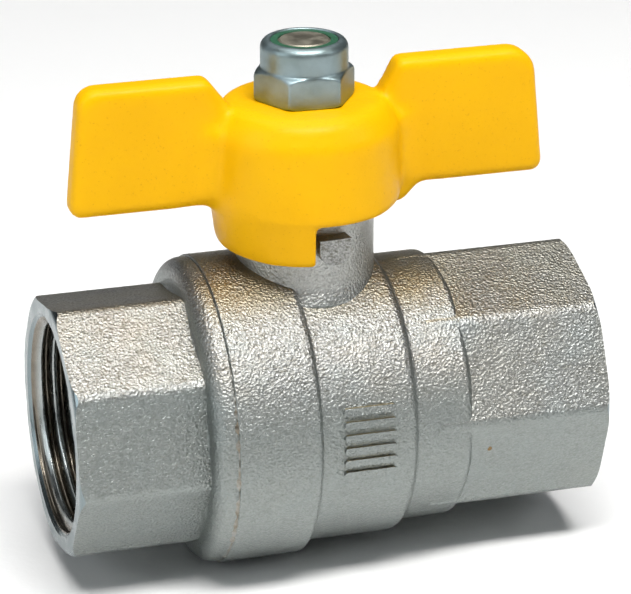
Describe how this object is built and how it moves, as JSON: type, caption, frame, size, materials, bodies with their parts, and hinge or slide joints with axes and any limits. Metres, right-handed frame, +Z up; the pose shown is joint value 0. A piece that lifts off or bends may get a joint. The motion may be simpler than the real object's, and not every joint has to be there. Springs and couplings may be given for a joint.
{
  "type": "ball valve",
  "caption": "Full-bore ball valve with female pipe threads at both ends and a butterfly handle that turns a quarter turn between its stops.",
  "frame": {"origin": "centre of the ball, where the pipe axis and the stem axis cross", "axes": "+X along the pipe axis from the end cap to the body's outlet, +Z up the stem to the handle; the handle lies along X, so the valve is open"},
  "size_m": [0.0829, 0.0476, 0.0816],
  "materials": {
    "nickel_body": "shot-blasted forged brass, nickel plated",
    "nickel_cap": "shot-blasted forged brass, nickel plated, with a turned end face",
    "chrome_ball": "hard chrome plated brass, polished",
    "ptfe": "white PTFE",
    "stem_brass": "turned brass, dulled",
    "seal_rubber": "black rubber",
    "yellow_paint": "glossy yellow paint on a casting",
    "zinc": "zinc plated steel",
    "green_nylon": "green nylon"
  },
  "bodies": {
    "housing": {"body": "nickel_body", "end_cap": "nickel_cap", "seat_inlet": "ptfe", "seat_outlet": "ptfe", "thrust_washer": "ptfe"},
    "spindle": {"handle": "yellow_paint", "lock_nut": "zinc", "nut_insert": "green_nylon", "stem": "stem_brass", "stem_ring_lower": "seal_rubber", "stem_ring_upper": "seal_rubber"},
    "closure": {"ball": "chrome_ball"}
  },
  "joints": [
    {"name": "handle_turn", "type": "hinge", "parent": "housing", "child": "spindle", "pos_m": [0, 0, 0.03], "axis": [0, 0, 1], "range_deg": [-90, 0]},
    {"name": "ball_turn", "type": "hinge", "parent": "housing", "child": "closure", "pos_m": [0, 0, 0], "axis": [0, 0, 1], "range_deg": [-90, 0]}
  ],
  "couplings": [
    {"joint": "ball_turn", "follows": "handle_turn", "ratio": 1}
  ]
}
